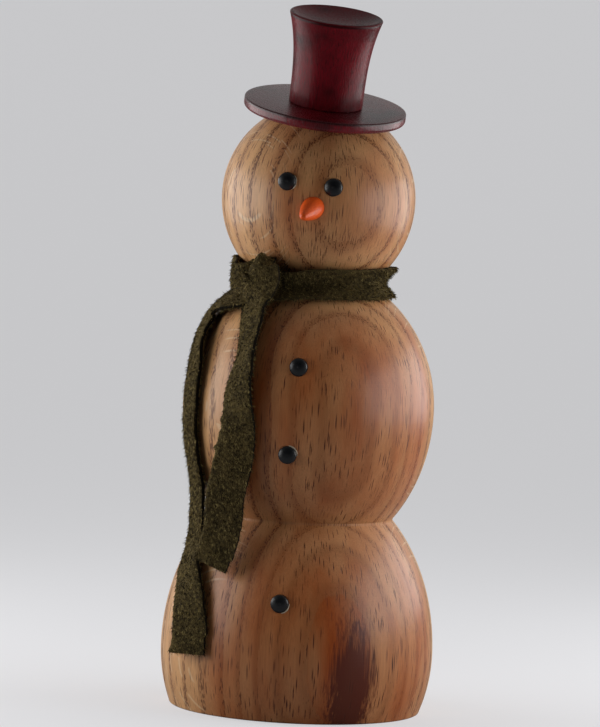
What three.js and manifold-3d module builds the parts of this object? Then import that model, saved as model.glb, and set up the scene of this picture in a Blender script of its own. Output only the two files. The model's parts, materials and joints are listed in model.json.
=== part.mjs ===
// A turned wooden snowman: one wooden body, a tilted top hat on a dowel, pegs for eyes and buttons,
// a carrot nose and a strip of suede tied round the neck as a scarf.
// Millimetres, +Z up. The origin is the centre of the foot and the figure faces -Y.
// An azimuth is counted in degrees from the front (-Y) towards +X.
import * as THREE from 'three';
import { mergeVertices } from 'three/addons/utils/BufferGeometryUtils.js';
import Module from 'manifold-3d';

// Turned body: three balls, each half an ellipse below and half above its widest height.
const base = { z: 16, radius: 37.1, below: 40, above: 48.5 };
const middle = { z: 82.5, radius: 34.2, below: 42, above: 37.8 };
const head = { z: 139.35, radius: 26.3, below: 27.5, above: 26.3 };
const waistRadius = 24.4;
const neckRadius = 15;
const bodySides = 60;

// Hat, measured along its own tilted axis from the flat seat on the head.
const hatTilt = 11.8;
const hatAzimuth = 27.8;
const seatHeight = 23.1;
// The dowel's hole is drilled a little off the seat's middle.
const hatOffset = { sideways: -1.25, downhill: -0.5 };
const brim = { radius: 22, thickness: 2.9, topEdge: 0.3, bottomEdge: 1.1 };
const crown = { height: 24.3, footRadius: 10, rimRadius: 12.65, rimEdge: 0.35, dishDepth: 2.2, flare: 3 };
const spigotRadius = 6;
const dowel = { radius: 3, inHead: 11, inHat: 9, chamfer: 0.5 };
const hatSides = 44;

// Pegs are glued into holes drilled straight in from the front.
const peg = { radius: 2.4, shank: 5, proud: 0.7, dome: 0.8 };
const eyes = { left_eye_peg: [-5.85, 144.6], right_eye_peg: [6.7, 143.6] };
const buttons = {
  top_button_peg: [0.5, 95.5],
  middle_button_peg: [-1.25, 72],
  lower_button_peg: [-1.15, 32.2],
};
const nose = {
  radius: 3,
  length: 8,
  shank: 4,
  swellRadius: 2.8,
  swellHeight: 1.6,
  tipRadius: 1.1,
  tipAngle: 18,
  z: 137.7,
  azimuth: 3,
  aim: -12,
  droop: 15,
};

// Scarf: one strip of suede.
const strip = { width: 11, thickness: 1.2 };
const band = { z: 117.4, creaseRadius: 18.5, topRadius: 21.6, topRise: 3.8, bottomRadius: 21.6, bottomDrop: 4.4 };
const knot = { azimuth: -38, radius: 25.3, z: 117.3, halfWidth: 6.2, halfDepth: 2.6, halfHeight: 6.1 };

// Gap kept between a piece and the piece it touches.
const gap = 0.3;
// How far a drill or a cutter runs past the surface it cuts.
const overrun = 12;

const axisUp = new THREE.Vector3(0, 1, 0);
const wasm = await Module();
wasm.setup();

const oak = material(0xb07f52, 0.42);
const wineWood = material(0x4a1a22, 0.3);
const plainWood = material(0xc9a36f, 0.7);
const blackPaint = material(0x15181c, 0.35);
const orangePaint = material(0xe8622a, 0.5);
const oliveSuede = material(0x3b3a20, 0.95);

function material(color, roughness) {
  return new THREE.MeshStandardMaterial({ color, roughness, metalness: 0 });
}

function radians(degrees) {
  return THREE.MathUtils.degToRad(degrees);
}

// Unit vector at an azimuth, tipped up or down from level.
function direction(azimuth, rise = 0) {
  const level = Math.cos(radians(rise));
  return new THREE.Vector3(
    Math.sin(radians(azimuth)) * level,
    -Math.cos(radians(azimuth)) * level,
    Math.sin(radians(rise)),
  );
}

// A closed geometry as a solid that can be cut and joined.
function toSolid(geometry) {
  const bare = geometry.clone();
  bare.deleteAttribute('normal');
  bare.deleteAttribute('uv');
  const merged = mergeVertices(bare, 1e-4);
  const corners = Array.from(merged.index.array);
  const kept = [];
  for (let i = 0; i < corners.length; i += 3) {
    const [a, b, c] = corners.slice(i, i + 3);
    if (a !== b && b !== c && c !== a) kept.push(a, b, c);
  }
  return new wasm.Manifold(new wasm.Mesh({
    numProp: 3,
    vertProperties: Float32Array.from(merged.attributes.position.array),
    triVerts: Uint32Array.from(kept),
  }));
}

function toGeometry(solid) {
  const mesh = solid.getMesh();
  const geometry = new THREE.BufferGeometry();
  geometry.setAttribute('position', new THREE.BufferAttribute(Float32Array.from(mesh.vertProperties), 3));
  geometry.setIndex(new THREE.BufferAttribute(Uint32Array.from(mesh.triVerts), 1));
  return geometry;
}

function subtract(geometry, cutters) {
  let solid = toSolid(geometry);
  for (const cutter of cutters) {
    solid = solid.subtract(toSolid(cutter));
  }
  return toGeometry(solid);
}

// A profile of [radius, height] pairs turned about the Y axis.
function turned(profile, sides) {
  return new THREE.LatheGeometry(profile.map(([radius, height]) => new THREE.Vector2(radius, height)), sides);
}

function turnedUpright(profile, sides) {
  return turned(profile, sides).rotateX(Math.PI / 2);
}

// Points of a round corner or dome: part of a circle, angles counted from the +radius direction.
function arc(centreRadius, centreHeight, radius, from, to, steps) {
  const points = [];
  for (let i = 0; i <= steps; i += 1) {
    const angle = radians(from + ((to - from) * i) / steps);
    points.push([centreRadius + radius * Math.cos(angle), centreHeight + radius * Math.sin(angle)]);
  }
  return points;
}

// Height on a ball where its radius is the given one, on its lower (-1) or upper (+1) half.
function ballHeight(ball, radius, side) {
  const half = side < 0 ? ball.below : ball.above;
  return ball.z + side * half * Math.sqrt(1 - (radius / ball.radius) ** 2);
}

function ballRadius(ball, z) {
  const half = z < ball.z ? ball.below : ball.above;
  return ball.radius * Math.sqrt(Math.max(0, 1 - ((z - ball.z) / half) ** 2));
}

// Outline of a ball from one height to another, with steps of even angle.
function ballOutline(ball, fromZ, toZ, steps) {
  const share = (z) => (z - ball.z) / (z < ball.z ? ball.below : ball.above);
  const angleAt = (z) => Math.asin(THREE.MathUtils.clamp(share(z), -1, 1));
  const points = [];
  for (let i = 0; i <= steps; i += 1) {
    const angle = angleAt(fromZ) + ((angleAt(toZ) - angleAt(fromZ)) * i) / steps;
    const half = angle < 0 ? ball.below : ball.above;
    points.push([ball.radius * Math.cos(angle), ball.z + half * Math.sin(angle)]);
  }
  return points;
}

// A drill bit whose flat end is at the given depth below its mouth.
function drill(radius, mouth, outward, depth, sides = 32) {
  const bit = new THREE.CylinderGeometry(radius, radius, depth + overrun, sides);
  bit.translate(0, (depth + overrun) / 2 - depth, 0);
  bit.applyQuaternion(new THREE.Quaternion().setFromUnitVectors(axisUp, outward));
  return bit.translate(mouth.x, mouth.y, mouth.z);
}

// Point on the front of a ball, straight in from the front at x and z.
function frontOf(ball, x, z) {
  return new THREE.Vector3(x, -Math.sqrt(ballRadius(ball, z) ** 2 - x ** 2), z);
}

const front = direction(0);
const hatAxis = direction(hatAzimuth, 90 - hatTilt);
const seatCentre = hatAxis.clone().multiplyScalar(seatHeight)
  .add(new THREE.Vector3(0, 0, head.z))
  .addScaledVector(direction(hatAzimuth + 90), hatOffset.sideways)
  .addScaledVector(direction(hatAzimuth, -hatTilt), hatOffset.downhill);
const noseMouth = direction(nose.azimuth).multiplyScalar(ballRadius(head, nose.z)).setZ(nose.z);
const noseAxis = direction(nose.aim, -nose.droop);
const pegMouths = {
  ...Object.fromEntries(Object.entries(eyes).map(([name, [x, z]]) => [name, frontOf(head, x, z)])),
  top_button_peg: frontOf(middle, ...buttons.top_button_peg),
  middle_button_peg: frontOf(middle, ...buttons.middle_button_peg),
  lower_button_peg: frontOf(base, ...buttons.lower_button_peg),
};

// The whole body is one turning. The waist and the neck are narrow grooves with a flat bottom.
function bodyGeometry() {
  const outline = [
    [0, 0],
    ...ballOutline(base, 0, ballHeight(base, waistRadius, 1), 10),
    ...ballOutline(middle, ballHeight(middle, waistRadius, -1), ballHeight(middle, neckRadius, 1), 16),
    ...ballOutline(head, ballHeight(head, neckRadius, -1), head.z + head.above, 14),
  ];
  outline[outline.length - 1][0] = 0;
  return subtract(turnedUpright(outline, bodySides), [
    seatCutter(),
    drill(dowel.radius + gap, seatCentre, hatAxis, dowel.inHead + gap),
    drill(nose.radius + gap, noseMouth, noseAxis, nose.shank + gap),
    ...Object.values(pegMouths).map((mouth) => drill(peg.radius + gap, mouth, front, peg.shank + gap)),
  ]);
}

// A block above the tilted flat that the hat sits on.
function seatCutter() {
  const side = 3 * head.radius;
  const block = new THREE.BoxGeometry(side, overrun, side);
  block.translate(0, overrun / 2, 0);
  block.applyQuaternion(new THREE.Quaternion().setFromUnitVectors(axisUp, hatAxis));
  return block.translate(seatCentre.x, seatCentre.y, seatCentre.z);
}

// Disc with a hole for the crown's spigot. Its lower edge is rounder than its upper one.
function brimGeometry() {
  const hole = spigotRadius + gap;
  const outline = [
    [hole, 0],
    ...arc(brim.radius - brim.bottomEdge, brim.bottomEdge, brim.bottomEdge, -90, 0, 3),
    ...arc(brim.radius - brim.topEdge, brim.thickness - brim.topEdge, brim.topEdge, 0, 90, 2),
    [hole, brim.thickness],
    [hole, 0],
  ];
  return turned(outline, hatSides);
}

// Crown with a spigot below it that fills the brim's hole, and a blind hole for the dowel.
function crownGeometry() {
  const foot = brim.thickness + gap;
  const top = foot + crown.height;
  const holeTop = dowel.inHat + gap;
  const sideSteps = 8;
  const side = [];
  for (let i = 0; i < sideSteps; i += 1) {
    const up = i / sideSteps;
    side.push([
      crown.footRadius + (crown.rimRadius - crown.footRadius) * up ** crown.flare,
      foot + (crown.height - crown.rimEdge) * up,
    ]);
  }
  const dishRadius = crown.rimRadius - 2 * crown.rimEdge;
  const dish = [];
  const dishSteps = 5;
  for (let i = 0; i <= dishSteps; i += 1) {
    const out = 1 - i / dishSteps;
    dish.push([dishRadius * out, top - crown.dishDepth * (1 - out ** 2)]);
  }
  const outline = [
    [0, holeTop],
    [dowel.radius + gap, holeTop],
    [dowel.radius + gap, 0],
    [spigotRadius, 0],
    [spigotRadius, foot],
    ...side,
    ...arc(crown.rimRadius - crown.rimEdge, top - crown.rimEdge, crown.rimEdge, 0, 90, 2),
    ...dish,
  ];
  return turned(outline, hatSides);
}

function dowelGeometry() {
  const { radius, inHead, inHat, chamfer } = dowel;
  return turned([
    [0, -inHead],
    [radius - chamfer, -inHead],
    [radius, chamfer - inHead],
    [radius, inHat - chamfer],
    [radius - chamfer, inHat],
    [0, inHat],
  ], 20);
}

// Peg with a flat inner end and a domed outer end.
function pegGeometry() {
  const domeRadius = (peg.radius ** 2 + peg.dome ** 2) / (2 * peg.dome);
  const centre = peg.proud + peg.dome - domeRadius;
  const edge = THREE.MathUtils.radToDeg(Math.acos(peg.radius / domeRadius));
  const dome = arc(0, centre, domeRadius, edge, 90, 4);
  dome[dome.length - 1][0] = 0;
  return turned([[0, -peg.shank], [peg.radius, -peg.shank], ...dome], 24);
}

// Cone with a round tip on a straight shank.
function noseGeometry() {
  const tipCentre = nose.length - nose.tipRadius;
  const tip = arc(0, tipCentre, nose.tipRadius, nose.tipAngle, 90, 3);
  tip[tip.length - 1][0] = 0;
  return turned([
    [0, -nose.shank],
    [nose.radius, -nose.shank],
    [nose.radius, 0],
    [nose.swellRadius, nose.swellHeight],
    ...tip,
  ], 24);
}

// The strip is pressed into the neck, so its section is a V lying on its side.
function neckBandGeometry() {
  const { z, creaseRadius, topRadius, topRise, bottomRadius, bottomDrop } = band;
  const { thickness } = strip;
  return turnedUpright([
    [bottomRadius, z - bottomDrop],
    [creaseRadius, z],
    [topRadius, z + topRise],
    [topRadius - thickness, z + topRise],
    [creaseRadius - thickness, z],
    [bottomRadius - thickness, z - bottomDrop],
    [bottomRadius, z - bottomDrop],
  ], bodySides);
}

function knotGeometry() {
  const lump = new THREE.SphereGeometry(1, 16, 10);
  lump.scale(knot.halfWidth, knot.halfDepth, knot.halfHeight);
  lump.rotateZ(radians(knot.azimuth));
  const place = direction(knot.azimuth).multiplyScalar(knot.radius).setZ(knot.z);
  return lump.translate(place.x, place.y, place.z);
}

// A flat strip that hangs along a route of [height, azimuth, radius, facing] stations.
// Facing is the azimuth that its outer face looks to.
function hangingStrip(stations, steps) {
  const middleLine = new THREE.CatmullRomCurve3(
    stations.map(([z, azimuth, radius]) => direction(azimuth).multiplyScalar(radius).setZ(z)),
  );
  const facingLine = new THREE.CatmullRomCurve3(
    stations.map(([, , , facing], index) => new THREE.Vector3(index, facing, 0)),
  );
  const geometry = new THREE.BoxGeometry(strip.width, strip.thickness, 1, 2, 1, steps);
  const corner = new THREE.Vector3();
  const { position } = geometry.attributes;
  for (let i = 0; i < position.count; i += 1) {
    corner.fromBufferAttribute(position, i);
    const along = 0.5 - corner.z;
    const outward = direction(facingLine.getPoint(along).y);
    const across = new THREE.Vector3().crossVectors(middleLine.getTangent(along), outward).normalize();
    const place = middleLine.getPoint(along)
      .addScaledVector(across, corner.x)
      .addScaledVector(outward, corner.y);
    position.setXYZ(i, place.x, place.y, place.z);
  }
  return geometry;
}

// Out from under the knot, over the middle ball, and straight down past the waist.
const frontTailRoute = [
  [110.3, -34, 26, -34],
  [104, -29.5, 29.6, -30],
  [96, -27, 33.1, -28],
  [88, -26, 35, -26],
  [80, -26.5, 35.5, -26],
  [72, -28, 35.1, -27],
  [62, -30, 34.5, -29],
  [52, -32, 34.4, -31],
  [44, -34.5, 35.6, -34],
  [37.5, -36, 37.2, -36],
];

// Round the side of the middle ball, then forward under the end of the other tail.
const backTailRoute = [
  [111.8, -59, 25.2, -59],
  [107, -60, 27.2, -60],
  [103, -60.5, 29.6, -60.5],
  [98.5, -61, 31.9, -61],
  [93, -61, 33.8, -61],
  [88, -61, 34.8, -61],
  [82.5, -61, 35.2, -61],
  [77, -61.5, 34.9, -61.5],
  [71.5, -62, 33.9, -62],
  [66, -62, 32.5, -62],
  [60.5, -61.5, 31.5, -61.5],
  [55, -61, 30.8, -61],
  [50, -60, 30.6, -59],
  [45, -58, 31.6, -57],
  [40, -54, 34.1, -53],
  [32, -46, 37.2, -40],
  [24, -42, 38.9, -30],
  [16.5, -41, 39.6, -27],
];

const snowman = new THREE.Group();

function addMesh(parent, name, geometry, look) {
  const mesh = new THREE.Mesh(geometry, look);
  mesh.name = name;
  parent.add(mesh);
  return mesh;
}

function aim(object, place, outward) {
  object.position.copy(place);
  object.quaternion.setFromUnitVectors(axisUp, outward);
}

addMesh(snowman, 'turned_body', bodyGeometry(), oak);
for (const [name, mouth] of Object.entries(pegMouths)) {
  aim(addMesh(snowman, name, pegGeometry(), blackPaint), mouth, front);
}
aim(addMesh(snowman, 'carrot_nose', noseGeometry(), orangePaint), noseMouth, noseAxis);

const onSeat = new THREE.Group();
aim(onSeat, seatCentre, hatAxis);
snowman.add(onSeat);
addMesh(onSeat, 'hat_dowel', dowelGeometry(), plainWood);
const hat = new THREE.Group();
hat.position.y = gap;
onSeat.add(hat);
addMesh(hat, 'hat_brim', brimGeometry(), wineWood);
addMesh(hat, 'hat_crown', crownGeometry(), wineWood);

addMesh(snowman, 'scarf_neck_band', neckBandGeometry(), oliveSuede);
addMesh(snowman, 'scarf_knot', knotGeometry(), oliveSuede);
addMesh(snowman, 'scarf_front_tail', hangingStrip(frontTailRoute, 24), oliveSuede);
addMesh(snowman, 'scarf_back_tail', hangingStrip(backTailRoute, 32), oliveSuede);

export default snowman;
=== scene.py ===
import json
import math

import bmesh
import bpy
from mathutils import Matrix, Quaternion, Vector, noise


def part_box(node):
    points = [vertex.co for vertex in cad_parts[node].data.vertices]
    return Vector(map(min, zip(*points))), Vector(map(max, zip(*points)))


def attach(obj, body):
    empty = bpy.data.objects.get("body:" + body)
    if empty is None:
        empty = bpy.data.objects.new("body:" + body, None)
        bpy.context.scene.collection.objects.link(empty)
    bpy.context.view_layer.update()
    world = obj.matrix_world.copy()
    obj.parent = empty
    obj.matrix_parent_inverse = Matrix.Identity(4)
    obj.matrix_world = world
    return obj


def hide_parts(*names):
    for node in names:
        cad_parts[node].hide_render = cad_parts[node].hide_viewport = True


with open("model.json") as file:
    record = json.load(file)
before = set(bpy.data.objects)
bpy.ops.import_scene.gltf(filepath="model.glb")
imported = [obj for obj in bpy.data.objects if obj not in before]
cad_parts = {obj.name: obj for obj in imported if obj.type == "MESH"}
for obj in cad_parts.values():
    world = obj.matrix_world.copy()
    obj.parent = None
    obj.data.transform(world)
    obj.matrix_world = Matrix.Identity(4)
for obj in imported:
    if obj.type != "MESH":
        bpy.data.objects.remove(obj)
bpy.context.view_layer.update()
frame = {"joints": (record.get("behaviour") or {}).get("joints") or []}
scene = bpy.context.scene

# ---------------------------------------------------------------------------------------------
# Camera: a long lens a step and a half away, a little above the hat and a little to the
# figure's left, tipped down at the middle ball and rolled so that the figure leans clockwise.
# ---------------------------------------------------------------------------------------------
CAMERA_AZIMUTH = math.radians(6.5)
CAMERA_DISTANCE = 1.5
CAMERA_HEIGHT = 0.209
CAMERA_TARGET_HEIGHT = 0.0941
CAMERA_TARGET_SIDE = -0.00288
CAMERA_ROLL = math.radians(2.81)
CAMERA_LENS = 273.5


def level_direction(azimuth):
    return Vector((math.sin(azimuth), -math.cos(azimuth), 0))


def place_camera():
    to_camera = level_direction(CAMERA_AZIMUTH)
    to_right = level_direction(CAMERA_AZIMUTH + math.pi / 2)
    place = to_camera * CAMERA_DISTANCE + Vector((0, 0, CAMERA_HEIGHT))
    target = to_right * CAMERA_TARGET_SIDE + Vector((0, 0, CAMERA_TARGET_HEIGHT))
    camera = bpy.data.objects.new("camera", bpy.data.cameras.new("camera"))
    scene.collection.objects.link(camera)
    camera.data.lens = CAMERA_LENS
    camera.data.clip_start = 0.05
    camera.data.clip_end = 200
    camera.rotation_mode = "QUATERNION"
    camera.location = place
    camera.rotation_quaternion = (target - place).to_track_quat("-Z", "Y") @ Quaternion(
        (0, 0, 1), CAMERA_ROLL
    )
    scene.camera = camera


place_camera()

# ---------------------------------------------------------------------------------------------
# Floor and light: a wide pale floor, a long low soft box along each side of the figure, and a
# sky that is pale behind and beside it and dark in front, so that the front shows its own colour.
# ---------------------------------------------------------------------------------------------
FLOOR_RADIUS = 90
FLOOR_GREY = "#A2A2A4"
FLOOR_GLOW = 0.83
SKY_FRONT = 0.01
SKY_BACK = 0.5
SKY_TOP_SHARE = 0.6
SKY_SEEN = "#C6C6C8"


def linear(hex_colour):
    """An sRGB hex colour as linear red, green, blue and alpha."""
    shares = [int(hex_colour[i : i + 2], 16) / 255 for i in (1, 3, 5)]
    return (*(s / 12.92 if s <= 0.04045 else ((s + 0.055) / 1.055) ** 2.4 for s in shares), 1)


def plug(tree, node, inputs):
    """Sets or links a node's inputs. A node among the values stands for its first output."""
    for key, value in inputs.items():
        if isinstance(value, bpy.types.Node):
            value = value.outputs[0]
        if isinstance(value, bpy.types.NodeSocket):
            tree.links.new(value, node.inputs[key])
        else:
            node.inputs[key].default_value = value


def add(tree, kind, inputs=None, **settings):
    """Adds a node, sets its properties, and sets or links its inputs."""
    made = tree.nodes.new(kind)
    for name, value in settings.items():
        setattr(made, name, value)
    plug(tree, made, inputs or {})
    return made


def new_material(name):
    """An empty material's tree with its Principled shader already on the output."""
    material = bpy.data.materials.new(name)
    material.use_nodes = True
    tree = material.node_tree
    tree.nodes.clear()
    shader = add(tree, "ShaderNodeBsdfPrincipled")
    add(tree, "ShaderNodeOutputMaterial", {"Surface": shader})
    return material, tree, shader


def new_piece(name, mesh, material):
    piece = bpy.data.objects.new(name, mesh)
    scene.collection.objects.link(piece)
    mesh.materials.clear()
    mesh.materials.append(material)
    return piece


def make_floor():
    # Matt paper. To the camera it glows a little, so that it looks even far from the lights.
    material, tree, shader = new_material("matt_paper")
    is_seen = add(tree, "ShaderNodeLightPath").outputs["Is Camera Ray"]
    glow = add(tree, "ShaderNodeMath", {0: is_seen, 1: FLOOR_GLOW}, operation="MULTIPLY")
    plug(tree, shader, {"Base Color": linear(FLOOR_GREY), "Roughness": 0.9})
    plug(tree, shader, {"Emission Color": linear(SKY_SEEN), "Emission Strength": glow})
    plug(tree, shader, {"Specular IOR Level": 0.1})
    flat = bmesh.new()
    bmesh.ops.create_circle(flat, cap_ends=True, segments=64, radius=FLOOR_RADIUS)
    mesh = bpy.data.meshes.new("floor")
    flat.to_mesh(mesh)
    new_piece("floor", mesh, material)


def soft_box(name, to_right, to_camera, height, size, power):
    """A rectangle of light, its long side along the view, that faces the figure's axis."""
    data = bpy.data.lights.new(name, "AREA")
    data.shape = "RECTANGLE"
    data.size, data.size_y = size
    data.energy = power
    lamp = bpy.data.objects.new(name, data)
    scene.collection.objects.link(lamp)
    right = level_direction(CAMERA_AZIMUTH + math.pi / 2)
    lamp.location = (
        right * to_right + level_direction(CAMERA_AZIMUTH) * to_camera + Vector((0, 0, height))
    )
    lamp.rotation_euler = (-right * to_right).to_track_quat("-Z", "Y").to_euler()
    lamp.visible_camera = False


def make_sky():
    world = bpy.data.worlds.new("studio")
    scene.world = world
    world.use_nodes = True
    tree = world.node_tree
    tree.nodes.clear()
    toward = add(tree, "ShaderNodeSeparateXYZ", {0: add(tree, "ShaderNodeTexCoord")})
    level = add(
        tree,
        "ShaderNodeMapRange",
        {0: toward.outputs["Y"], 1: -0.9, 2: 0.1, 3: SKY_FRONT, 4: SKY_BACK},
        interpolation_type="SMOOTHSTEP",
    )
    rising = add(
        tree,
        "ShaderNodeMapRange",
        {0: toward.outputs["Z"], 1: 0.15, 2: 0.8, 3: 1, 4: SKY_TOP_SHARE},
        interpolation_type="SMOOTHSTEP",
    )
    strength = add(tree, "ShaderNodeMath", {0: level, 1: rising}, operation="MULTIPLY")
    light = add(tree, "ShaderNodeBackground", {"Color": (1, 1, 1, 1), "Strength": strength})
    seen = add(tree, "ShaderNodeBackground", {"Color": linear(SKY_SEEN), "Strength": 1.0})
    is_seen = add(tree, "ShaderNodeLightPath").outputs["Is Camera Ray"]
    both = add(tree, "ShaderNodeMixShader", {0: is_seen, 1: light, 2: seen})
    add(tree, "ShaderNodeOutputWorld", {"Surface": both})


make_floor()
make_sky()
scene.view_settings.view_transform = "Standard"
soft_box("soft_box_right", 0.26, -0.03, 0.125, (0.46, 0.15), 0.78)
soft_box("soft_box_left", -0.28, -0.035, 0.125, (0.42, 0.18), 0.82)

# ---------------------------------------------------------------------------------------------
# Body: base, middle and head turned between centres from one block of oak, sanded and oiled.
# Each ball is half an ellipse below and half above its widest height. Holes for the pegs, the
# nose and the hat's dowel are drilled after turning, and the hat's seat is sawn off at a tilt.
# ---------------------------------------------------------------------------------------------
MM = 0.001
BASE = {"z": 16, "radius": 37.1, "below": 40, "above": 48.5}
MIDDLE = {"z": 82.5, "radius": 34.2, "below": 42, "above": 37.8}
HEAD = {"z": 139.35, "radius": 26.3, "below": 27.5, "above": 26.3}
WAIST_RADIUS = 24.4
NECK_RADIUS = 15
BODY_SIDES = 200
FOOT_EDGE = 0.7
PEG_HOLE_RADIUS = 2.46
PEG_HOLE_DEPTH = 5.3
NOSE_HOLE_RADIUS = 3.08
NOSE_HOLE_DEPTH = 4.3
DOWEL_HOLE_RADIUS = 3.12
DOWEL_HOLE_DEPTH = 11.3
NOSE_AZIMUTH, NOSE_HEIGHT = 3, 137.7
NOSE_AIM, NOSE_DROOP = -12, 15
PEGS = ["left_eye_peg", "right_eye_peg", "top_button_peg", "middle_button_peg", "lower_button_peg"]
PEG_STANDS_OUT = 1.5
SEAM = 1e-6
# The log that the body was turned from, in millimetres and radians: how far its pith lies from
# the body's axis and how far round from the front, the swelling at the middle ball, how deep
# the front ring lies, and how wide the years are before and behind it.
PITH_DISTANCE = 60
PITH_TURN = math.radians(-25)
SWELLING = {"z": 81, "length": 17, "depth": 4}
FIRST_RING = 14.5
FRONT_YEAR, DEEP_YEAR = 5.15, 7
# Pores lie in cells of these sizes, the fine ones' width being that at 30 mm from the body's axis.
FINE_PORE = {"width": 0.5, "depth": 2.5, "length": 8, "at": 30}
ROW_PORE = {"width": 0.45, "length": 2.8}
RAY = {"apart": 2.2, "depth": 12, "height": 6}
STAIN_AZIMUTH = 0.1

hat_turn = next(j for j in frame["joints"] if j["name"] == "hat_turn")
seat_centre = Vector(hat_turn["pos_m"])
hat_axis = Vector(hat_turn["axis"]).normalized()


def start_tree(name, made, **inputs):
    """A Geometry Nodes tree with its named inputs. An underscore stands for a space."""
    tree = bpy.data.node_groups.new(name, "GeometryNodeTree")
    for label, kind in inputs.items():
        tree.interface.new_socket(
            label.replace("_", " "), in_out="INPUT", socket_type="NodeSocket" + kind
        )
    tree.interface.new_socket(made, in_out="OUTPUT", socket_type="NodeSocketGeometry")
    return tree, add(tree, "NodeGroupInput").outputs


def end_tree(tree, geometry, finish):
    """Makes a tree's instances real, gives them their material and hands them out."""
    real = add(tree, "GeometryNodeRealizeInstances", {0: geometry})
    done = add(tree, "GeometryNodeSetMaterial", {"Geometry": real, "Material": finish})
    add(tree, "NodeGroupOutput", {0: done})
    return tree


def turning_tree():
    """Turns an outline, given as points at (radius, 0, height), round the Z axis."""
    tree, given = start_tree(
        "turning", "Turned", Outline="Geometry", Sides="Int", Finish="Material"
    )
    rows = add(tree, "GeometryNodeAttributeDomainSize", {0: given["Outline"]}, component="MESH")
    columns = add(tree, "ShaderNodeMath", {0: given["Sides"], 1: 1.0}, operation="ADD")
    grid = add(tree, "GeometryNodeMeshGrid", {"Vertices X": rows, "Vertices Y": columns})
    index = add(tree, "GeometryNodeInputIndex")
    row = add(
        tree,
        "ShaderNodeMath",
        {0: add(tree, "ShaderNodeMath", {0: index, 1: columns}, operation="DIVIDE")},
        operation="FLOOR",
    )
    column = add(tree, "ShaderNodeMath", {0: index, 1: columns}, operation="MODULO")
    point = add(
        tree,
        "GeometryNodeSampleIndex",
        {0: given["Outline"], "Value": add(tree, "GeometryNodeInputPosition"), "Index": row},
        data_type="FLOAT_VECTOR",
    )
    share = add(tree, "ShaderNodeMath", {0: column, 1: given["Sides"]}, operation="DIVIDE")
    angle = add(tree, "ShaderNodeMath", {0: share, 1: math.tau}, operation="MULTIPLY")
    place = add(
        tree, "ShaderNodeVectorRotate", {"Vector": point, "Angle": angle}, rotation_type="Z_AXIS"
    )
    spun = add(tree, "GeometryNodeSetPosition", {"Geometry": grid, "Position": place})
    closed = add(tree, "GeometryNodeMergeByDistance", {"Geometry": spun, "Distance": SEAM})
    return end_tree(tree, closed, given["Finish"])


def set_inputs(modifier, tree, **values):
    """Sets a tree's named inputs on a modifier. An underscore stands for a space."""
    for item in tree.interface.items_tree:
        name = item.name.replace(" ", "_")
        if item.in_out == "INPUT" and name in values:
            modifier[item.identifier] = values[name]


def evaluated_mesh(piece, name):
    """The mesh that a piece's modifiers make. The piece itself goes."""
    bpy.context.view_layer.update()
    made = piece.evaluated_get(bpy.context.evaluated_depsgraph_get())
    mesh = bpy.data.meshes.new_from_object(made)
    mesh.name = name
    bpy.data.objects.remove(piece)
    return mesh


def tidy_mesh(mesh, sharp_degrees=32, smallest=SEAM):
    """Closes seams, points every face outwards, and keeps sharp only the real corners."""
    work = bmesh.new()
    work.from_mesh(mesh)
    bmesh.ops.remove_doubles(work, verts=work.verts, dist=smallest)
    bmesh.ops.dissolve_degenerate(work, edges=work.edges, dist=smallest)
    bmesh.ops.recalc_face_normals(work, faces=work.faces)
    work.to_mesh(mesh)
    work.free()
    mesh.shade_smooth()
    mesh.set_sharp_from_angle(angle=math.radians(sharp_degrees))
    return mesh


turning = turning_tree()


def turned(name, outline, sides, material, place=Matrix.Identity(4)):
    """A mesh turned from an outline of [radius, height] pairs in millimetres."""
    line = bpy.data.meshes.new(name)
    line.from_pydata([(r * MM, 0, h * MM) for r, h in outline], [], [])
    blank = bpy.data.objects.new(name, line)
    scene.collection.objects.link(blank)
    lathe = blank.modifiers.new("lathe", "NODES")
    lathe.node_group = turning
    set_inputs(lathe, turning, Sides=sides, Finish=material)
    mesh = evaluated_mesh(blank, name)
    mesh.transform(place)
    return tidy_mesh(mesh)


def arc(centre_radius, centre_height, radius, start, stop, steps):
    """Points of a round corner or dome, angles in degrees from the outward direction."""
    angles = [math.radians(start + (stop - start) * i / steps) for i in range(steps + 1)]
    return [
        [centre_radius + radius * math.cos(a), centre_height + radius * math.sin(a)]
        for a in angles
    ]


def ball_radius(ball, z):
    half = ball["below"] if z < ball["z"] else ball["above"]
    return ball["radius"] * math.sqrt(max(0, 1 - ((z - ball["z"]) / half) ** 2))


def ball_height(ball, radius, side):
    half = ball["below"] if side < 0 else ball["above"]
    return ball["z"] + side * half * math.sqrt(1 - (radius / ball["radius"]) ** 2)


def ball_outline(ball, low, high, steps):
    def angle_at(z):
        half = ball["below"] if z < ball["z"] else ball["above"]
        return math.asin(max(-1, min(1, (z - ball["z"]) / half)))

    points = []
    for i in range(steps + 1):
        angle = angle_at(low) + (angle_at(high) - angle_at(low)) * i / steps
        half = ball["below"] if angle < 0 else ball["above"]
        points.append([ball["radius"] * math.cos(angle), ball["z"] + half * math.sin(angle)])
    return points


def body_radius(z):
    """The body's radius at a height, in millimetres."""
    if z < ball_height(BASE, WAIST_RADIUS, 1):
        return ball_radius(BASE, z)
    if z < ball_height(MIDDLE, NECK_RADIUS, 1):
        return max(WAIST_RADIUS, ball_radius(MIDDLE, z)) if z < MIDDLE["z"] else ball_radius(MIDDLE, z)
    return max(NECK_RADIUS, ball_radius(HEAD, z))


def turn_to(axis):
    """Turns a piece made about Z so that it stands along another axis."""
    return Vector((0, 0, 1)).rotation_difference(axis).to_matrix().to_4x4()


def peg_mouth(name):
    """Where a peg leaves the wood, on its own axis."""
    low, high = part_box(name)
    return Vector(((low.x + high.x) / 2, low.y + PEG_STANDS_OUT * MM, (low.z + high.z) / 2))


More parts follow.
